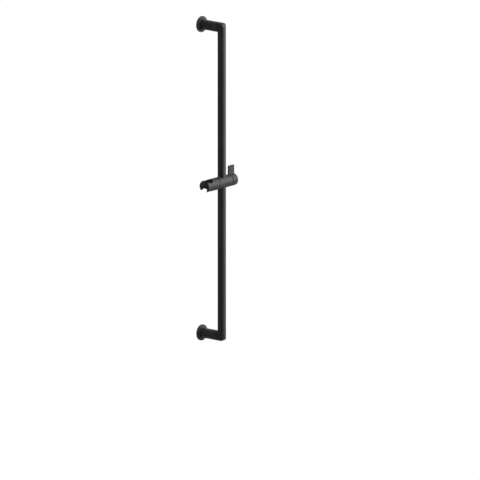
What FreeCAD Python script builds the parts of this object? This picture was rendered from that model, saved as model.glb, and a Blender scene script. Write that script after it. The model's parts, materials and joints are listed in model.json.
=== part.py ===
import FreeCAD, Part
import math
import os

# Shower slide rail. The wall is the plane y = 0 and the room lies towards -y. z is up.
# The origin is on the wall, midway between the two wall fixings. Millimetres.

# Rail
rail_span = 872.0            # between the axes of the two wall arms, and so between the wall holes
rail_reach = 73.0            # from the wall to the middle of the tube
rail_depth = 21.4            # tube section, front to back
rail_width = 15.6            # tube section, side to side
rail_corner = 4.0
rail_wall = 1.8

# Wall arms
arm_diameter = 28.0
elbow_outer_radius = 14.0
elbow_inner_radius = 2.5
cove_radius = 8.0            # hollow that leads from the round arm into the flats
flat_overrun = 1.5           # flats go on behind the tube by this much
stub_length = 5.5            # stretch of tube section below the arm, cast with it
tenon_length = 22.0          # goes into the tube
tenon_chamfer = 0.8

# Wall plates and roses
plate_diameter = 38.0
plate_thickness = 2.5
spigot_diameter = 18.0
spigot_length = 24.0
spigot_chamfer = 0.8
wall_hole_diameter = 5.5
wall_screw_head_bore = 11.0
wall_screw_seat = 6.0        # from the wall to the seat of the screw's head
rose_diameter = 45.0
rose_rim = 4.0               # from the wall to the flat of the rose
rose_face_wall = 1.2
rose_step_height = 3.0
rose_step_base = 36.0
rose_step_top = 31.0
rose_edge_round = 0.8
rose_ring_width = 1.6
rose_ring_depth = 1.2

# Grub screws
arm_grub_diameter = 5.0
arm_grub_seat = 0.8          # depth of the groove round the spigot
arm_grub_from_rose = 5.0     # from the front of the rose to the screw's axis
arm_grub_key = 2.5
rail_grub_diameter = 4.0
rail_grub_length = 7.0
rail_grub_key = 2.0
grub_recess = 0.4            # below the surface
key_depth = 2.0              # hexagon sockets

# Slider, along x
slider_diameter = 34.0
body_left = 25.4             # from the rail's middle to the groove by the holder
body_right = 28.4            # from the rail's middle to the groove by the lever
holder_groove_width = 1.1
holder_groove_depth = 1.4
lever_groove_width = 2.0
lever_groove_depth = 1.8
groove_chamfer = 0.4
liner_wall = 1.3
liner_slit = 1.2
liner_recess = 0.4           # below the slider's round surface

# Holder and its swivel
holder_length = 49.7
fork_top_diameter = 25.0
fork_bottom_diameter = 24.2
fork_mouth = 20.6            # width of the way in
fork_end = 34.3              # from the holder's inner face to the middle of the fork's round hole
fork_lean = 10.0             # degrees that the fork leans into the room
holder_edge_round = 0.6
boss_diameter = 14.0
boss_length = 8.0
tilt_limit = 45.0            # degrees, each way from upright
tilt_margin = 1.0            # degrees left at each stop
tilt_tab_angle = 24.0
tilt_tab_height = 2.4
tilt_tab_depth = 2.0
swivel_web = 3.3             # wall between the boss and the screw's head
swivel_screw_diameter = 5.0
swivel_screw_grip = 16.0     # thread in the boss and holder
swivel_head_diameter = 9.0
swivel_head_height = 2.8
swivel_key = 3.0
swivel_spring_height = 1.0
swivel_ring_width = 1.8
swivel_ring_depth = 1.1
swivel_ring_inset = 3.0      # from the boss's end to the ring
liner_peg_length = 1.2

# Lever and brake
lever_length = 20.8
lever_edge_round = 1.0
paddle_height = 41.0         # above the slider's axis
paddle_thickness = 5.1
paddle_round = 0.5
hub_diameter = 20.0
hub_length = 9.3
circlip_thickness = 1.2
circlip_inset = 4.2          # from the body's end to the circlip
circlip_bite = 1.1           # into the hub and into the body
circlip_opening = 5.0
nut_diameter = 14.0
nut_length = 16.0
thread_diameter = 8.0
thread_engagement = 11.0
lever_sweep = 90.0           # degrees
thread_lead = 4.0            # plunger travel for a whole turn
pad_size = 11.4
pad_thickness = 2.2
pad_seat = 0.8
plunger_size = 12.9
plunger_head = 5.0
plunger_corner = 1.5

# Clearances
fit_gap = 0.1                # slip fits that stay put
running_gap = 0.05           # radial gap of turning and sliding fits
thrust_gap = 0.05            # axial gap between turning faces
free_gap = 0.3               # everything that only has to stay clear

# Working values
past = 1.0                   # cutters and joined solids run past a face by this much
near = 0.01                  # edges are picked by place to within this
mostly = 0.9                 # share of a direction that counts as along it

V = FreeCAD.Vector
axis_x = V(1, 0, 0)
axis_y = V(0, 1, 0)
axis_z = V(0, 0, 1)

arm_r = arm_diameter / 2
slider_r = slider_diameter / 2
boss_r = boss_diameter / 2
hub_r = hub_diameter / 2
spigot_r = spigot_diameter / 2
half_span = rail_span / 2
rail_front = rail_reach + rail_depth / 2
rail_back = rail_reach - rail_depth / 2
seam_z = half_span - arm_r - stub_length
rose_front = rose_rim + rose_step_height
liner_clear = fit_gap + liner_wall
hole_half_width = rail_width / 2 + liner_clear + running_gap
holder_face = -body_left - holder_groove_width
lever_face = body_right + lever_groove_width
plunger_travel = thread_lead * lever_sweep / 360


def cylinder(radius, start, length, direction):
    return Part.makeCylinder(radius, length, start, direction)


def along_x(radius, x_from, x_to):
    return cylinder(radius, V(x_from, -rail_reach, 0), x_to - x_from, axis_x)


def along_y(radius, y_from, y_to):
    return cylinder(radius, V(0, y_from, 0), y_from - y_to, V(0, -1, 0))


def ring_x(outer, inner, x_from, x_to):
    return along_x(outer, x_from, x_to).cut(along_x(inner, x_from - past, x_to + past))


def block(x_from, x_to, y_from, y_to, z_from, z_to):
    return Part.makeBox(x_to - x_from, y_to - y_from, z_to - z_from, V(x_from, y_from, z_from))


def turned_y(points):
    """Solid of revolution about the y axis from (radius, y) points."""
    wire = Part.makePolygon([V(r, y, 0) for r, y in points] + [V(points[0][0], points[0][1], 0)])
    return Part.Face(wire).revolve(V(0, 0, 0), axis_y, 360)


def corner_point(centre, radius, degrees):
    angle = math.radians(degrees)
    return V(centre.x + radius * math.cos(angle), centre.y + radius * math.sin(angle), 0)


def rounded_prism(width, depth, corner, y_centre, z_from, z_to):
    """Upright prism with rounded corners, width along x and depth along y."""
    edges = []
    half_x = width / 2 - corner
    half_y = depth / 2 - corner
    centres = [V(sx * half_x, y_centre + sy * half_y, 0) for sx, sy in ((1, 1), (-1, 1), (-1, -1), (1, -1))]
    for index, centre in enumerate(centres):
        turn = 90 * index
        arc = [corner_point(centre, corner, turn + step) for step in (0, 45, 90)]
        edges.append(Part.Arc(*arc).toShape())
        following = corner_point(centres[(index + 1) % 4], corner, turn + 90)
        edges.append(Part.makeLine(arc[2], following))
    face = Part.Face(Part.Wire(edges))
    face.translate(V(0, 0, z_from))
    return face.extrude(V(0, 0, z_to - z_from))


def rail_prism(offset, z_from, z_to):
    """The tube's section, grown all round by an offset."""
    return rounded_prism(rail_width + 2 * offset, rail_depth + 2 * offset, rail_corner + offset,
                         -rail_reach, z_from, z_to)


def hexagon_key(across_flats, depth, start, direction):
    """Six-sided socket cutter from a point along a direction."""
    radius = across_flats / math.sqrt(3)
    points = [V(radius * math.cos(math.radians(60 * k)), radius * math.sin(math.radians(60 * k)), 0)
              for k in range(7)]
    prism = Part.Face(Part.makePolygon(points)).extrude(V(0, 0, depth))
    prism.Placement = FreeCAD.Placement(start, FreeCAD.Rotation(axis_z, direction))
    return prism


def edges_where(shape, test):
    """Edges whose ends and middle all pass a test."""
    chosen = []
    for edge in shape.Edges:
        middle = edge.valueAt((edge.FirstParameter + edge.LastParameter) / 2)
        points = [vertex.Point for vertex in edge.Vertexes] + [middle]
        if all(test(point) for point in points):
            chosen.append(edge)
    return chosen


def rail_tube():
    outer = rail_prism(0, -seam_z, seam_z)
    tube = outer.cut(rail_prism(-rail_wall, -seam_z - past, seam_z + past))
    for side in (1, -1):
        tube = tube.cut(rail_grub_hole(side))
    return tube


def rail_grub_z(side):
    return side * (seam_z - tenon_length / 2)


def rail_grub_hole(side):
    depth = grub_recess + rail_grub_length + free_gap
    start = V(0, -rail_back + past, rail_grub_z(side))
    return cylinder(rail_grub_diameter / 2 + running_gap, start, depth + past, -axis_y)


def rail_grub_screw(side):
    start = V(0, -rail_back - grub_recess, rail_grub_z(side))
    screw = cylinder(rail_grub_diameter / 2, start, rail_grub_length, -axis_y)
    return screw.cut(hexagon_key(rail_grub_key, key_depth, start, -axis_y))


arm_back = plate_thickness + free_gap
arm_grub_y = -rose_front - arm_grub_from_rose
socket_end = plate_thickness + spigot_length + free_gap


def elbow_plan():
    """Outline of the arm from above: round bar, hollow, flats and the tube's front corners."""
    half = rail_width / 2
    flat_y = -rail_back + flat_overrun
    cove_x = half + cove_radius
    wide = max(arm_r, cove_x) + past
    diagonal = cove_radius * math.sqrt(0.5)
    edges = []
    for sx in (1, -1):
        cove_start = V(sx * cove_x, flat_y + cove_radius, 0)
        cove_middle = V(sx * (cove_x - diagonal), flat_y + diagonal, 0)
        cove_end = V(sx * half, flat_y, 0)
        centre = V(sx * (half - rail_corner), -rail_front + rail_corner, 0)
        front = [corner_point(centre, rail_corner, a) for a in ((0, -45, -90) if sx > 0 else (180, 225, 270))]
        edges.append(Part.makeLine(V(0, 0, 0), V(sx * wide, 0, 0)))
        edges.append(Part.makeLine(V(sx * wide, 0, 0), V(sx * wide, flat_y + cove_radius, 0)))
        edges.append(Part.makeLine(V(sx * wide, flat_y + cove_radius, 0), cove_start))
        edges.append(Part.Arc(cove_start, cove_middle, cove_end).toShape())
        edges.append(Part.makeLine(cove_end, front[0]))
        edges.append(Part.Arc(*front).toShape())
        edges.append(Part.makeLine(front[2], V(0, -rail_front, 0)))
    outline = Part.Wire(Part.__sortEdges__(edges))
    face = Part.Face(outline)
    face.translate(V(0, 0, -arm_diameter))
    return face.extrude(V(0, 0, 2 * arm_diameter))


def elbow_profile(side):
    """Outline of the arm from the side, with the rounded outer corner."""
    top = side * arm_r
    bottom = -top
    turn = elbow_outer_radius
    diagonal = turn * (1 - math.sqrt(0.5))
    corner_middle = V(-arm_diameter, -rail_front + diagonal, top - side * diagonal)
    points = [V(-arm_diameter, -rail_front + turn, top), V(-arm_diameter, 0, top),
              V(-arm_diameter, 0, bottom), V(-arm_diameter, -rail_front, bottom),
              V(-arm_diameter, -rail_front, top - side * turn)]
    edges = [Part.makeLine(points[k], points[k + 1]) for k in range(len(points) - 1)]
    edges.append(Part.Arc(points[-1], corner_middle, points[0]).toShape())
    return Part.Face(Part.Wire(edges)).extrude(V(2 * arm_diameter, 0, 0))


def arm(side):
    """Wall arm with its elbow: side 1 is the upper one, side -1 the lower one."""
    bar = along_y(arm_r, -arm_back, -rail_front)
    bar = bar.common(elbow_plan()).common(elbow_profile(side))
    stub_end = arm_r + stub_length
    stub = rail_prism(0, -stub_end, 0)
    tenon = rail_prism(-rail_wall - fit_gap, -stub_end - tenon_length, 0)
    tenon_edges = edges_where(tenon, lambda p: p.z < -stub_end - tenon_length + near)
    tenon = tenon.makeChamfer(tenon_chamfer, tenon_edges)
    if side < 0:
        stub = stub.mirror(V(0, 0, 0), axis_z)
        tenon = tenon.mirror(V(0, 0, 0), axis_z)
    solid = bar.fuse(stub).removeSplitter()
    corner_edges = edges_where(solid, lambda p: arm_r / 2 < -side * p.z < stub_end - near
                               and -rail_back - rail_corner - near < p.y < -rail_back + near
                               and abs(p.x) < rail_width / 2 - near)
    solid = solid.makeFillet(elbow_inner_radius, corner_edges)
    solid = solid.fuse(tenon).removeSplitter()
    solid = solid.cut(along_y(spigot_r + fit_gap, past, -socket_end))
    grub_hole = cylinder(arm_grub_diameter / 2 + running_gap, V(0, arm_grub_y, 0), arm_diameter, -axis_z)
    solid = solid.cut(grub_hole)
    solid.translate(V(0, 0, side * half_span))
    return solid.cut(rail_grub_hole(side))


def arm_grub_screw(side):
    reach = spigot_r - arm_grub_seat + running_gap
    outer_end = arm_r - grub_recess
    screw = cylinder(arm_grub_diameter / 2, V(0, arm_grub_y, -reach), outer_end - reach, -axis_z)
    screw = screw.cut(hexagon_key(arm_grub_key, key_depth, V(0, arm_grub_y, -outer_end), axis_z))
    screw.translate(V(0, 0, side * half_span))
    return screw


def wall_plate(side):
    plate = along_y(plate_diameter / 2, 0, -plate_thickness)
    spigot = along_y(spigot_r, 0, -plate_thickness - spigot_length)
    front = -plate_thickness - spigot_length
    spigot = spigot.makeChamfer(spigot_chamfer, edges_where(spigot, lambda p: p.y < front + near))
    groove_half = arm_grub_diameter / 2 + free_gap
    groove = along_y(spigot_r + past, arm_grub_y + groove_half, arm_grub_y - groove_half)
    groove_floor = along_y(spigot_r - arm_grub_seat, arm_grub_y + arm_diameter, arm_grub_y - arm_diameter)
    groove = groove.cut(groove_floor)
    solid = plate.fuse(spigot).removeSplitter().cut(groove)
    solid = solid.cut(along_y(wall_hole_diameter / 2, past, front - past))
    solid = solid.cut(along_y(wall_screw_head_bore / 2, -wall_screw_seat, front - past))
    solid.translate(V(0, 0, side * half_span))
    return solid


rose_ring_y = -rose_rim - rose_step_height / 2 + rose_ring_width / 2
rose_bore_r = arm_r + fit_gap


def rose(side):
    outer = rose_diameter / 2
    cavity = plate_diameter / 2 + free_gap
    inner_face = rose_rim - rose_face_wall
    solid = turned_y([(rose_bore_r, -inner_face), (cavity, -inner_face), (cavity, 0), (outer, 0),
                      (outer, -rose_rim), (rose_step_base / 2, -rose_rim),
                      (rose_step_top / 2, -rose_front), (rose_bore_r, -rose_front)])
    groove = along_y(rose_bore_r + rose_ring_depth, rose_ring_y, rose_ring_y - rose_ring_width)
    solid = solid.cut(groove)
    rim_edges = edges_where(solid, lambda p: abs(p.y + rose_rim) < near
                            and math.hypot(p.x, p.z) > outer - near)
    solid = solid.makeFillet(rose_edge_round, rim_edges)
    solid.translate(V(0, 0, side * half_span))
    return solid


def rose_ring(side):
    inset = running_gap / 2
    outer = rose_bore_r + rose_ring_depth - inset
    solid = along_y(outer, rose_ring_y - inset, rose_ring_y - rose_ring_width + inset)
    solid = solid.cut(along_y(arm_r + inset, past, -rose_front))
    solid.translate(V(0, 0, side * half_span))
    return solid


def groove_edges(shape, x):
    return edges_where(shape, lambda p: abs(p.x - x) < near
                       and math.hypot(p.y + rail_reach, p.z) > slider_r - near)


head_seat = holder_face + boss_length + free_gap + swivel_web
peg_r = swivel_head_diameter / 2 + 2 * free_gap
recess_outer = boss_r + tilt_tab_height + free_gap
tab_end = holder_face + tilt_tab_depth
pocket_end = lever_face - hub_length - plunger_travel - 2 * free_gap
circlip_x = body_right - circlip_inset - circlip_thickness


def sector_x(outer, inner, half_angle, x_from, x_to):
    """Part of a ring about the slider's axis, centred on the wall side."""
    ring = ring_x(outer, inner, x_from, x_to)
    corners = [V(x_from, -rail_reach, 0)]
    reach = 4 * outer
    for angle in (half_angle, half_angle / 2, 0, -half_angle / 2, -half_angle):
        turn = math.radians(angle)
        corners.append(V(x_from, -rail_reach + reach * math.cos(turn), reach * math.sin(turn)))
    wedge = Part.Face(Part.makePolygon(corners + corners[:1])).extrude(V(x_to - x_from, 0, 0))
    return ring.common(wedge)


def square_x(size, corner, x_from, x_to):
    """Square bar along the slider's axis."""
    bar = block(x_from, x_to, -rail_reach - size / 2, -rail_reach + size / 2, -size / 2, size / 2)
    if corner > 0:
        bar = bar.makeFillet(corner, [e for e in bar.Edges if abs(e.tangentAt(e.FirstParameter).x) > mostly])
    return bar


def slider_body():
    solid = along_x(slider_r, -body_left, body_right)
    ends = groove_edges(solid, -body_left) + groove_edges(solid, body_right)
    solid = solid.makeChamfer(groove_chamfer, ends)
    solid = solid.cut(rail_prism(liner_clear + running_gap, -slider_diameter, slider_diameter))
    solid = solid.cut(along_x(boss_r + running_gap, -body_left - past, holder_face + boss_length + free_gap))
    solid = solid.cut(sector_x(recess_outer, boss_r / 2, tilt_tab_angle / 2 + tilt_limit + tilt_margin,
                               -body_left - past, tab_end + free_gap))
    solid = solid.cut(along_x(swivel_screw_diameter / 2 + running_gap, -body_left, 0))
    solid = solid.cut(along_x(peg_r + running_gap, head_seat, 0))
    solid = solid.cut(along_x(hub_r + running_gap, pocket_end, body_right + past))
    solid = solid.cut(square_x(plunger_size + 2 * running_gap, plunger_corner, 0, pocket_end + past))
    clip_groove = along_x(hub_r + circlip_bite + fit_gap, circlip_x - running_gap,
                          circlip_x + circlip_thickness + running_gap)
    return solid.cut(clip_groove)


def guide_liner():
    sleeve = rail_prism(liner_clear, -slider_diameter, slider_diameter)
    sleeve = sleeve.common(along_x(slider_r - liner_recess, -slider_diameter, slider_diameter))
    peg = along_x(peg_r, -hole_half_width - liner_peg_length, -rail_width / 2)
    sleeve = sleeve.fuse(peg).removeSplitter()
    sleeve = sleeve.cut(rail_prism(fit_gap, -2 * slider_diameter, 2 * slider_diameter))
    sleeve = sleeve.cut(square_x(pad_size + 2 * free_gap, 0, 0, slider_diameter))
    slit = block(-liner_slit / 2, liner_slit / 2, -rail_back - past, -rail_back + rail_depth,
                 -slider_diameter, slider_diameter)
    return sleeve.cut(slit)


def swivel_washer():
    inner = recess_outer + free_gap
    return ring_x(slider_r - holder_groove_depth, inner, holder_face + thrust_gap, -body_left)


def lever_washer():
    inner = hub_r + free_gap
    return ring_x(slider_r - lever_groove_depth, inner, body_right, lever_face - thrust_gap)


def handset_holder():
    end = holder_face - holder_length
    solid = along_x(slider_r, end, holder_face)
    solid = solid.makeChamfer(groove_chamfer, groove_edges(solid, holder_face))
    solid = solid.cut(fork_slot())
    solid = solid.makeFillet(holder_edge_round, edges_where(solid, lambda p: abs(p.x - end) < near))
    boss = along_x(boss_r, holder_face - past, holder_face + boss_length)
    tab = sector_x(boss_r + tilt_tab_height, boss_r / 2, tilt_tab_angle / 2, holder_face - past, tab_end)
    solid = solid.fuse(boss).fuse(tab).removeSplitter()
    ring_end = holder_face + boss_length - swivel_ring_inset
    ring_seat = ring_x(boss_r + past, boss_r - swivel_ring_depth, ring_end - swivel_ring_width, ring_end)
    solid = solid.cut(ring_seat)
    screw_end = holder_face + boss_length - swivel_screw_grip - free_gap
    solid = solid.cut(along_x(swivel_screw_diameter / 2 + running_gap, screw_end, 0))
    solid.rotate(V(0, -rail_reach, 0), axis_x, fork_lean)
    return solid


def fork_slot():
    """Tapered round hole for the handset, with a narrower way in from the holder's end."""
    centre_x = holder_face - fork_end
    slope = (fork_top_diameter - fork_bottom_diameter) / 2 / slider_diameter
    rise = slider_r + past
    top_r = fork_top_diameter / 2 + slope * past
    bottom_r = fork_bottom_diameter / 2 - slope * past
    cone = Part.makeCone(bottom_r, top_r, 2 * rise, V(centre_x, -rail_reach, -rise), axis_z)
    half = fork_mouth / 2
    mouth = block(centre_x - holder_length, centre_x, -rail_reach - half, -rail_reach + half, -rise, rise)
    return cone.fuse(mouth)


def swivel_screw():
    head_face = head_seat + swivel_spring_height + thrust_gap
    shank_end = holder_face + boss_length - swivel_screw_grip
    shank = along_x(swivel_screw_diameter / 2, shank_end, head_face + past)
    head_top = head_face + swivel_head_height
    head = along_x(swivel_head_diameter / 2, head_face, head_top)
    key = hexagon_key(swivel_key, key_depth, V(head_top, -rail_reach, 0), -axis_x)
    return shank.fuse(head).removeSplitter().cut(key)


def swivel_spring_washer():
    inner = swivel_screw_diameter / 2 + running_gap
    start = head_seat + thrust_gap
    return ring_x(swivel_head_diameter / 2, inner, start, start + swivel_spring_height)


def swivel_ring():
    inset = running_gap / 2
    ring_end = holder_face + boss_length - swivel_ring_inset
    return ring_x(boss_r + inset, boss_r - swivel_ring_depth + inset,
                  ring_end - swivel_ring_width + inset, ring_end - inset)


nut_start = lever_face - hub_length


def lever():
    end = lever_face + lever_length
    cap = along_x(slider_r, lever_face, end)
    cap = cap.makeChamfer(groove_chamfer, groove_edges(cap, lever_face))
    cap = cap.makeFillet(lever_edge_round, groove_edges(cap, end))
    half = paddle_thickness / 2
    paddle = block(body_right + free_gap, end, -rail_reach - half, -rail_reach + half, 0, paddle_height)
    paddle_edges = edges_where(paddle, lambda p: p.z > near) + upright_edges(paddle)
    paddle = paddle.makeFillet(paddle_round, paddle_edges)
    paddle = paddle.cut(along_x(slider_r - lever_groove_depth + free_gap, body_right, lever_face))
    hub = along_x(hub_r, nut_start, lever_face + past)
    solid = cap.fuse(paddle).fuse(hub).removeSplitter()
    clip_clear = free_gap / 2
    solid = solid.cut(ring_x(hub_r + past, hub_r - circlip_bite - running_gap, circlip_x - clip_clear,
                             circlip_x + circlip_thickness + clip_clear))
    solid = solid.cut(along_x(nut_diameter / 2, nut_start - past, nut_start + nut_length))
    return solid.cut(along_x(thread_diameter / 2 + running_gap, nut_start, thread_bore_end))


def upright_edges(shape):
    return [e for e in shape.Edges if abs(e.tangentAt(e.FirstParameter).z) > mostly]


def lever_nut():
    return ring_x(nut_diameter / 2, thread_diameter / 2 + running_gap, nut_start, nut_start + nut_length)


def lever_circlip():
    ring = ring_x(hub_r + circlip_bite, hub_r - circlip_bite, circlip_x, circlip_x + circlip_thickness)
    opening = block(circlip_x - past, circlip_x + circlip_thickness + past, -rail_reach - circlip_opening / 2,
                    -rail_reach + circlip_opening / 2, 0, hub_diameter)
    return ring.cut(opening)


pad_face = rail_width / 2 + thrust_gap
plunger_face = pad_face + pad_thickness - pad_seat
stem_end = nut_start + thread_engagement
thread_bore_end = max(nut_start + nut_length, stem_end + plunger_travel + free_gap)


def brake_plunger():
    head = square_x(plunger_size, plunger_corner, plunger_face, plunger_face + plunger_head)
    stem = along_x(thread_diameter / 2, plunger_face + plunger_head - past, stem_end)
    solid = head.fuse(stem).removeSplitter()
    return solid.cut(square_x(pad_size + fit_gap, 0, plunger_face - past, plunger_face + pad_seat))


def brake_pad():
    return square_x(pad_size, 0, pad_face, pad_face + pad_thickness)


pieces = {"rail_tube": rail_tube(),
          "slider_body": slider_body(),
          "guide_liner": guide_liner(),
          "swivel_washer": swivel_washer(),
          "lever_washer": lever_washer(),
          "lever_circlip": lever_circlip(),
          "handset_holder": handset_holder(),
          "swivel_screw": swivel_screw(),
          "swivel_spring_washer": swivel_spring_washer(),
          "swivel_ring": swivel_ring(),
          "lever": lever(),
          "lever_nut": lever_nut(),
          "brake_plunger": brake_plunger(),
          "brake_pad": brake_pad()}

for end_name, end_side in (("upper", 1), ("lower", -1)):
    pieces[end_name + "_arm"] = arm(end_side)
    pieces[end_name + "_wall_plate"] = wall_plate(end_side)
    pieces[end_name + "_rose"] = rose(end_side)
    pieces[end_name + "_rose_ring"] = rose_ring(end_side)
    pieces[end_name + "_arm_grub_screw"] = arm_grub_screw(end_side)
    pieces[end_name + "_rail_grub_screw"] = rail_grub_screw(end_side)

os.makedirs("parts", exist_ok=True)
for node, shape in pieces.items():
    print(node, shape.ShapeType, len(shape.Solids), shape.isValid(), round(shape.Volume, 1))
    shape.exportStep("parts/" + node + ".step")
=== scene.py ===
import json
import math

import bpy
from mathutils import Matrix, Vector


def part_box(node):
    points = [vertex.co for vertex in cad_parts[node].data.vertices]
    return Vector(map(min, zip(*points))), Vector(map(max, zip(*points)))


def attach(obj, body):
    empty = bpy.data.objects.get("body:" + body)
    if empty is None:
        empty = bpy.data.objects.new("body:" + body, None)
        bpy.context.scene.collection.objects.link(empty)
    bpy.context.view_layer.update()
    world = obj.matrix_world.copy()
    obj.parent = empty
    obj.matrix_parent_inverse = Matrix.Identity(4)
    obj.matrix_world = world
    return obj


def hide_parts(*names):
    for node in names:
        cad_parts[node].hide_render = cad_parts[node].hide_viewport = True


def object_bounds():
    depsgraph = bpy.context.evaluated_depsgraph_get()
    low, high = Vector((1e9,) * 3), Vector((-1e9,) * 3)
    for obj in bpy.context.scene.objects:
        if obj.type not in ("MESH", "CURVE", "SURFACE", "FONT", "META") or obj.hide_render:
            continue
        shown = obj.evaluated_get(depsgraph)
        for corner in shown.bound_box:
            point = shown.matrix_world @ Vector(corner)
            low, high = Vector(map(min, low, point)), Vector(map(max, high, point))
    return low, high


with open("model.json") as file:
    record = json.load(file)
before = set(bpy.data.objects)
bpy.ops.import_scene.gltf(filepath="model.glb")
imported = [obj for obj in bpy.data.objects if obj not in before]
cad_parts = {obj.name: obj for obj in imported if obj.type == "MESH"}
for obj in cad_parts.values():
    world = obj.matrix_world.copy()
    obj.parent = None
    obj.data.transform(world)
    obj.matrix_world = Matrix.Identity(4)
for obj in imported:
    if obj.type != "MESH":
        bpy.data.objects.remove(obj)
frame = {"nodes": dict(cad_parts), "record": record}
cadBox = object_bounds()
nodes = frame["nodes"]
slots = {row["node"]: row["material_slot"] for row in frame["record"]["subparts"]}
print("frame loaded:", len(nodes), "nodes")

sliderLow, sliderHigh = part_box("slider_body")
sliderAxis = (sliderLow + sliderHigh) / 2
wallMount = frame["record"]["mounts"][0]
wallScrewZ = wallMount["dims"]["spacing_y_mm"] / 1000 / 2   # half the distance of the wall holes


# camera: the rail stands off-centre in the picture, seen from its fork side by a long lens
view = dict(azimuth=-50.6, elevation=12.9, lens=1600.0, sensor=36.0,
            pictureSize=480.0, metresPerPixel=0.002757, sliderPixel=(221.8, 182.1))


def makeCamera(v):
    a = math.radians(v["azimuth"])
    e = math.radians(v["elevation"])
    back = Vector((math.sin(a) * math.cos(e), -math.cos(a) * math.cos(e), math.sin(e)))
    right = Vector((math.cos(a), math.sin(a), 0))
    up = back.cross(right)
    middle = v["pictureSize"] / 2
    toRight = (middle - v["sliderPixel"][0]) * v["metresPerPixel"]
    toDown = (middle - v["sliderPixel"][1]) * v["metresPerPixel"]
    target = Vector((0, sliderAxis.y, sliderAxis.z)) + right * toRight - up * toDown
    distance = v["pictureSize"] * v["metresPerPixel"] * v["lens"] / v["sensor"]
    data = bpy.data.cameras.new("camera")
    data.lens = v["lens"]
    data.sensor_width = v["sensor"]
    data.clip_end = distance * 2
    camera = bpy.data.objects.new("camera", data)
    bpy.context.scene.collection.objects.link(camera)
    camera.location = target + back * distance
    camera.rotation_mode = "QUATERNION"
    camera.rotation_quaternion = (-back).to_track_quat("-Z", "Y")
    bpy.context.scene.camera = camera


makeCamera(view)
print("camera placed")


# small helpers for shader trees

def newMaterial(name):
    material = bpy.data.materials.new(name)
    material.use_nodes = True
    return material, material.node_tree, material.node_tree.nodes["Principled BSDF"]


def addNode(tree, kind, inputs=None, **settings):
    node = tree.nodes.new(kind)
    for key, value in settings.items():
        setattr(node, key, value)
    for key, value in (inputs or {}).items():
        node.inputs[key].default_value = value
    return node


def objectPoint(tree):
    return addNode(tree, "ShaderNodeTexCoord").outputs["Object"]


def noise(tree, point, scale, detail=3.0, roughness=0.55):
    node = addNode(tree, "ShaderNodeTexNoise",
                   {"Scale": scale, "Detail": detail, "Roughness": roughness})
    tree.links.new(point, node.inputs["Vector"])
    return node.outputs["Fac"]


def ranged(tree, value, low, high, span=(0.0, 1.0)):
    node = addNode(tree, "ShaderNodeMapRange", {"From Min": span[0], "From Max": span[1],
                                                "To Min": low, "To Max": high})
    tree.links.new(value, node.inputs["Value"])
    return node.outputs["Result"]


def twoColours(tree, value, dark, pale, span):
    ramp = addNode(tree, "ShaderNodeValToRGB")
    for stop, position, colour in zip(ramp.color_ramp.elements, span, (dark, pale)):
        stop.position = position
        stop.color = (*colour, 1)
    tree.links.new(value, ramp.inputs["Fac"])
    return ramp.outputs["Color"]


def mixed(tree, first, second, share):
    node = addNode(tree, "ShaderNodeMath", operation="MULTIPLY_ADD")
    node.inputs[1].default_value = share
    tree.links.new(second, node.inputs[0])
    tree.links.new(first, node.inputs[2])
    return node.outputs["Value"]


def colourAndGloss(tree, shader, colourBy, glossBy, f):
    tree.links.new(twoColours(tree, colourBy, f["dark"], f["pale"], f["colourSpan"]),
                   shader.inputs["Base Color"])
    tree.links.new(ranged(tree, glossBy, f["smoothest"], f["roughest"], f["glossSpan"]),
                   shader.inputs["Roughness"])


def bumped(tree, shader, height, f):
    node = addNode(tree, "ShaderNodeBump", {"Strength": f["bump"], "Distance": f["bumpDepth"]})
    tree.links.new(height, node.inputs["Height"])
    tree.links.new(node.outputs["Normal"], shader.inputs["Normal"])


# satin black coating: fine orange-peel skin with a faint fleck and patches of slightly higher gloss
coat = dict(name="satinBlackCoat", dark=(0.026, 0.026, 0.027), pale=(0.040, 0.040, 0.041),
            fleckScale=2600.0, fleckDetail=2.0, patchScale=38.0, patchDetail=4.0,
            peelScale=900.0, peelDetail=2.5, peelRoughness=0.5,
            fleckInColour=0.6, fleckInGloss=0.35, fleckInPeel=0.25,
            colourSpan=(0.5, 1.0), smoothest=0.40, roughest=0.50, glossSpan=(0.4, 0.95),
            specular=0.11, bump=0.16, bumpDepth=0.00018)


def makeCoat(c):
    material, tree, shader = newMaterial(c["name"])
    point = objectPoint(tree)
    fleck = noise(tree, point, c["fleckScale"], c["fleckDetail"])
    patch = noise(tree, point, c["patchScale"], c["patchDetail"])
    peel = noise(tree, point, c["peelScale"], c["peelDetail"], c["peelRoughness"])
    colourAndGloss(tree, shader, mixed(tree, patch, fleck, c["fleckInColour"]),
                   mixed(tree, patch, fleck, c["fleckInGloss"]), c)
    shader.inputs["Specular IOR Level"].default_value = c["specular"]
    bumped(tree, shader, mixed(tree, peel, fleck, c["fleckInPeel"]), c)
    return material


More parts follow.
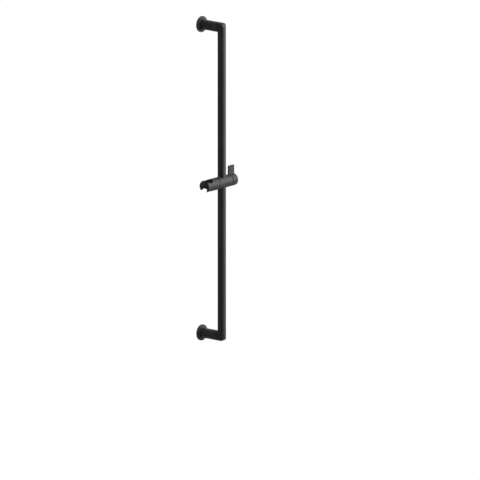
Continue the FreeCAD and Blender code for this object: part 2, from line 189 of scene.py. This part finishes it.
# moulded plastic and rubber: spark-eroded grain under a coarser cloud
mouldedGrain = dict(grainDetail=3.0, cloudCoarser=24.0, cloudShare=0.7,
                    colourSpan=(0.55, 1.0), glossSpan=(0.5, 1.2))
moulded = dict(
    liner_plastic=dict(name="linerPlastic", dark=(0.022, 0.022, 0.022), pale=(0.036, 0.036, 0.036),
                       specular=0.35, grainScale=1700.0, smoothest=0.45, roughest=0.6,
                       bump=0.2, bumpDepth=0.00012),
    washer_plastic=dict(name="washerPlastic", dark=(0.014, 0.014, 0.014), pale=(0.024, 0.024, 0.024),
                        specular=0.35, grainScale=2200.0, smoothest=0.5, roughest=0.62,
                        bump=0.15, bumpDepth=0.0001),
    ring_rubber=dict(name="ringRubber", dark=(0.012, 0.012, 0.012), pale=(0.022, 0.022, 0.022),
                     specular=0.3, grainScale=1300.0, smoothest=0.68, roughest=0.82,
                     bump=0.25, bumpDepth=0.00012),
    pad_rubber=dict(name="padRubber", dark=(0.035, 0.035, 0.034), pale=(0.06, 0.06, 0.058),
                    specular=0.3, grainScale=1100.0, smoothest=0.72, roughest=0.88,
                    bump=0.3, bumpDepth=0.00015))


def makeMoulded(m):
    material, tree, shader = newMaterial(m["name"])
    point = objectPoint(tree)
    grain = noise(tree, point, m["grainScale"], m["grainDetail"])
    cloud = noise(tree, point, m["grainScale"] / m["cloudCoarser"], m["grainDetail"])
    both = mixed(tree, grain, cloud, m["cloudShare"])
    colourAndGloss(tree, shader, both, both, m)
    shader.inputs["Specular IOR Level"].default_value = m["specular"]
    bumped(tree, shader, grain, m)
    return material


# turned metal: lathe rings round the wall holes' or the slider's axis, with a little cloud
turnedRings = dict(ringDetail=2.0, cloudScale=160.0, cloudDetail=3.0, cloudShare=0.6,
                   colourSpan=(0.55, 1.0), glossSpan=(0.5, 1.1))
turned = dict(
    plate_steel=dict(name="turnedSteel", dark=(0.36, 0.36, 0.365), pale=(0.52, 0.52, 0.525),
                     axis="wall", ringsPerMetre=1900.0, smoothest=0.24, roughest=0.4,
                     bump=0.25, bumpDepth=0.00006),
    screw_steel=dict(name="screwSteel", dark=(0.22, 0.22, 0.225), pale=(0.36, 0.36, 0.365),
                     axis="wall", ringsPerMetre=2600.0, smoothest=0.26, roughest=0.42,
                     bump=0.2, bumpDepth=0.00005),
    spring_steel=dict(name="springSteel", dark=(0.34, 0.34, 0.35), pale=(0.46, 0.46, 0.47),
                      axis="slider", ringsPerMetre=3000.0, smoothest=0.2, roughest=0.34,
                      bump=0.15, bumpDepth=0.00004),
    nut_brass=dict(name="turnedBrass", dark=(0.58, 0.41, 0.16), pale=(0.74, 0.55, 0.25),
                   axis="slider", ringsPerMetre=2200.0, smoothest=0.22, roughest=0.38,
                   bump=0.25, bumpDepth=0.00006))


def axisDistance(tree, point, axis):
    split = addNode(tree, "ShaderNodeSeparateXYZ")
    tree.links.new(point, split.inputs["Vector"])
    height = addNode(tree, "ShaderNodeMath", operation="ABSOLUTE")
    tree.links.new(split.outputs["Z"], height.inputs[0])
    offset = addNode(tree, "ShaderNodeMath", operation="SUBTRACT")
    offset.inputs[1].default_value = wallScrewZ if axis == "wall" else 0.0
    tree.links.new(height.outputs["Value"], offset.inputs[0])
    across = addNode(tree, "ShaderNodeMath", operation="SUBTRACT")
    across.inputs[1].default_value = 0.0 if axis == "wall" else sliderAxis.y
    tree.links.new(split.outputs["X" if axis == "wall" else "Y"], across.inputs[0])
    flat = addNode(tree, "ShaderNodeCombineXYZ")
    tree.links.new(across.outputs["Value"], flat.inputs["X"])
    tree.links.new(offset.outputs["Value"], flat.inputs["Y"])
    length = addNode(tree, "ShaderNodeVectorMath", operation="LENGTH")
    tree.links.new(flat.outputs["Vector"], length.inputs[0])
    return length.outputs["Value"]


def makeTurned(t):
    material, tree, shader = newMaterial(t["name"])
    point = objectPoint(tree)
    scaled = addNode(tree, "ShaderNodeMath", operation="MULTIPLY")
    scaled.inputs[1].default_value = t["ringsPerMetre"]
    tree.links.new(axisDistance(tree, point, t["axis"]), scaled.inputs[0])
    rings = addNode(tree, "ShaderNodeTexNoise", {"Scale": 1.0, "Detail": t["ringDetail"]},
                    noise_dimensions="1D")
    tree.links.new(scaled.outputs["Value"], rings.inputs["W"])
    cloud = noise(tree, point, t["cloudScale"], t["cloudDetail"])
    both = mixed(tree, rings.outputs["Fac"], cloud, t["cloudShare"])
    colourAndGloss(tree, shader, both, both, t)
    shader.inputs["Metallic"].default_value = 1.0
    bumped(tree, shader, rings.outputs["Fac"], t)
    return material


finishes = {"black_coat": makeCoat(coat)}
finishes.update({slot: makeMoulded({**mouldedGrain, **m}) for slot, m in moulded.items()})
finishes.update({slot: makeTurned({**turnedRings, **t}) for slot, t in turned.items()})
print("finishes made:", len(finishes))

for name, node in nodes.items():
    node.data.materials.clear()
    node.data.materials.append(finishes[slots[name]])
print("finishes laid on the nodes")


# roses: one closed profile, turned round the arm's axis, its showing corners rounded off
roseLow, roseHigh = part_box("upper_rose")
armLow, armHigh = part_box("upper_arm")
armRadius = (armHigh.x - armLow.x) / 2
roseGap = 0.0001     # between the rose's bore and the arm
ringDepth = 0.0012   # of the groove for the rubber ring
roseSizes = {"Outer Radius": (roseHigh.x - roseLow.x) / 2, "Cavity Radius": 0.0193,
             "Bore Radius": armRadius + roseGap, "Groove Radius": armRadius + roseGap + ringDepth,
             "Step Base Radius": 0.018, "Step Top Radius": 0.0155,
             "Wall Height": 0.0, "Inner Height": 0.0028, "Rim Height": 0.004,
             "Front Height": -roseLow.y, "Groove Low": 0.0047, "Groove High": 0.0063,
             "Rim Round": 0.0008, "Foot Round": 0.0004, "Step Round": 0.0005, "Mouth Round": 0.0002}
roseCorners = [("Bore Radius", "Inner Height", None), ("Cavity Radius", "Inner Height", None),
               ("Cavity Radius", "Wall Height", None), ("Outer Radius", "Wall Height", None),
               ("Outer Radius", "Rim Height", "Rim Round"),
               ("Step Base Radius", "Rim Height", "Foot Round"),
               ("Step Top Radius", "Front Height", "Step Round"),
               ("Bore Radius", "Front Height", "Mouth Round"), ("Bore Radius", "Groove High", None),
               ("Groove Radius", "Groove High", None), ("Groove Radius", "Groove Low", None),
               ("Bore Radius", "Groove Low", None)]
roseMesh = dict(sides=160, cornerSteps=8, spindle=0.001, sharpAngle=0.5, joinDistance=1e-6)


def makeRoseTree(sizes, corners, m, material):
    tree = bpy.data.node_groups.new("turnedRose", "GeometryNodeTree")
    for name in sizes:
        tree.interface.new_socket(name, in_out="INPUT", socket_type="NodeSocketFloat")
    tree.interface.new_socket("Place", in_out="INPUT", socket_type="NodeSocketVector")
    tree.interface.new_socket("Geometry", in_out="OUTPUT", socket_type="NodeSocketGeometry")
    given = addNode(tree, "NodeGroupInput")
    link = tree.links.new

    place = addNode(tree, "GeometryNodeIndexSwitch", data_type="VECTOR")
    rounding = addNode(tree, "GeometryNodeIndexSwitch", data_type="FLOAT")
    for switch in (place, rounding):
        link(addNode(tree, "GeometryNodeInputIndex").outputs["Index"], switch.inputs["Index"])
        for spare in range(len(corners) - len(switch.index_switch_items)):
            switch.index_switch_items.new()
    for index, (radius, height, edge) in enumerate(corners):
        corner = addNode(tree, "ShaderNodeCombineXYZ")
        link(given.outputs[radius], corner.inputs["X"])
        link(given.outputs[height], corner.inputs["Y"])
        link(corner.outputs["Vector"], place.inputs[1 + index])
        if edge:
            link(given.outputs[edge], rounding.inputs[1 + index])

    line = addNode(tree, "GeometryNodeCurvePrimitiveLine")
    points = addNode(tree, "GeometryNodeResampleCurve", {"Count": len(corners)}, mode="COUNT")
    shaped = addNode(tree, "GeometryNodeSetPosition")
    closed = addNode(tree, "GeometryNodeSetSplineCyclic", {"Cyclic": True})
    rounded = addNode(tree, "GeometryNodeFilletCurve", {"Count": m["cornerSteps"]}, mode="POLY")
    inward = addNode(tree, "GeometryNodeSetPosition", {"Offset": (-m["spindle"], 0, 0)})
    circle = addNode(tree, "GeometryNodeCurvePrimitiveCircle",
                     {"Resolution": m["sides"], "Radius": m["spindle"]})
    turned = addNode(tree, "GeometryNodeCurveToMesh")
    joined = addNode(tree, "GeometryNodeMergeByDistance", {"Distance": m["joinDistance"]})
    upright = addNode(tree, "GeometryNodeTransform", {"Rotation": (math.radians(-90), 0, 0)})
    moved = addNode(tree, "GeometryNodeTransform")
    smooth = addNode(tree, "GeometryNodeSetShadeSmooth", domain="FACE")
    creased = addNode(tree, "GeometryNodeSetShadeSmooth", domain="EDGE")
    angle = addNode(tree, "GeometryNodeInputMeshEdgeAngle")
    gentle = addNode(tree, "FunctionNodeCompare", {"B": m["sharpAngle"]}, operation="LESS_THAN")
    realized = addNode(tree, "GeometryNodeRealizeInstances")
    painted = addNode(tree, "GeometryNodeSetMaterial", {"Material": material})
    out = addNode(tree, "NodeGroupOutput")

    link(place.outputs[0], shaped.inputs["Position"])
    link(rounding.outputs[0], rounded.inputs["Radius"])
    link(given.outputs["Place"], moved.inputs["Translation"])
    link(angle.outputs["Unsigned Angle"], gentle.inputs["A"])
    link(gentle.outputs["Result"], creased.inputs["Shade Smooth"])
    link(circle.outputs["Curve"], turned.inputs["Curve"])
    link(inward.outputs[0], turned.inputs["Profile Curve"])
    for chain in ((line, points, shaped, closed, rounded, inward),
                  (turned, joined, upright, moved, smooth, creased, realized, painted, out)):
        for before, after in zip(chain, chain[1:]):
            link(before.outputs[0], after.inputs[0])
    return tree


def bakeTree(name, tree, values):
    shell = bpy.data.objects.new(name, bpy.data.meshes.new(name + "Shell"))
    bpy.context.scene.collection.objects.link(shell)
    modifier = shell.modifiers.new("nodes", "NODES")
    modifier.node_group = tree
    for socket in tree.interface.items_tree:
        if socket.in_out == "INPUT":
            modifier[socket.identifier] = values[socket.name]
    evaluated = shell.evaluated_get(bpy.context.evaluated_depsgraph_get())
    mesh = bpy.data.meshes.new_from_object(evaluated)
    shell.modifiers.remove(modifier)
    shell.data = mesh
    return shell


roseTree = makeRoseTree(roseSizes, roseCorners, roseMesh, finishes["black_coat"])
for end, side in (("upper", 1), ("lower", -1)):
    piece = bakeTree(end + "Rose", roseTree, {**roseSizes, "Place": (0, 0, side * wallScrewZ)})
    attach(piece, "rail")
    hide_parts(end + "_rose")
print("roses turned")


# stage: pale floor below the rail, white behind it, broad soft light from right, front and back
stage = dict(floorDrop=1.1, floorRadius=2.6, floorSides=64, floorGlow=0.4, floorRoughness=0.8,
             floorDark=(0.58, 0.58, 0.577), floorPale=(0.6, 0.6, 0.595),
             speckScale=140.0, speckSpan=(0.3, 0.7), ambient=0.03)
lights = dict(
    keyLight=dict(direction=(0.797, -0.538, 0.276), distance=2.6, size=2.6, power=50.0, spread=100.0),
    fillLight=dict(direction=(-0.071, -0.816, 0.574), distance=2.6, size=1.6, power=13.0, spread=100.0),
    backLight=dict(direction=(0.26, 0.96, 0.10), distance=2.6, size=2.6, power=9.0, spread=100.0))


def seenRays(tree):   # 1 for rays that show the background, 0 for rays that only bring light
    path = addNode(tree, "ShaderNodeLightPath")
    seen = path.outputs["Is Camera Ray"]
    for kind in ("Is Glossy Ray", "Is Transmission Ray"):
        both = addNode(tree, "ShaderNodeMath", operation="MAXIMUM")
        tree.links.new(seen, both.inputs[0])
        tree.links.new(path.outputs[kind], both.inputs[1])
        seen = both.outputs["Value"]
    return seen


def makeFloor(s):
    low = cadBox[0].z - s["floorDrop"]
    corners = range(s["floorSides"])
    angles = [math.tau * corner / s["floorSides"] for corner in corners]
    ring = [(s["floorRadius"] * math.cos(a), s["floorRadius"] * math.sin(a), low) for a in angles]
    mesh = bpy.data.meshes.new("floor")
    mesh.from_pydata(ring, [], [list(corners)])
    floor = bpy.data.objects.new("floor", mesh)
    bpy.context.scene.collection.objects.link(floor)
    material, tree, shader = newMaterial("paleFloor")
    speck = noise(tree, objectPoint(tree), s["speckScale"])
    tree.links.new(twoColours(tree, speck, s["floorDark"], s["floorPale"], s["speckSpan"]),
                   shader.inputs["Base Color"])
    shader.inputs["Roughness"].default_value = s["floorRoughness"]
    shader.inputs["Emission Color"].default_value = (1, 1, 1, 1)
    tree.links.new(ranged(tree, seenRays(tree), 0.0, s["floorGlow"]),
                   shader.inputs["Emission Strength"])
    mesh.materials.append(material)


def makeWorld(s):
    world = bpy.data.worlds.new("studio")
    bpy.context.scene.world = world
    world.use_nodes = True
    tree = world.node_tree
    background = tree.nodes["Background"]
    background.inputs["Color"].default_value = (1, 1, 1, 1)
    tree.links.new(ranged(tree, seenRays(tree), s["ambient"], 1.0), background.inputs["Strength"])


def makeLight(name, lamp):
    data = bpy.data.lights.new(name, "AREA")
    data.shape = "SQUARE"
    data.size = lamp["size"]
    data.energy = lamp["power"]
    data.spread = math.radians(lamp["spread"])
    light = bpy.data.objects.new(name, data)
    bpy.context.scene.collection.objects.link(light)
    towards = Vector(lamp["direction"]).normalized()
    light.location = sliderAxis + towards * lamp["distance"]
    light.rotation_mode = "QUATERNION"
    light.rotation_quaternion = (-towards).to_track_quat("-Z", "Y")


makeFloor(stage)
makeWorld(stage)
for name, lamp in lights.items():
    makeLight(name, lamp)
bpy.context.scene.view_settings.view_transform = "Standard"
print("stage lit")
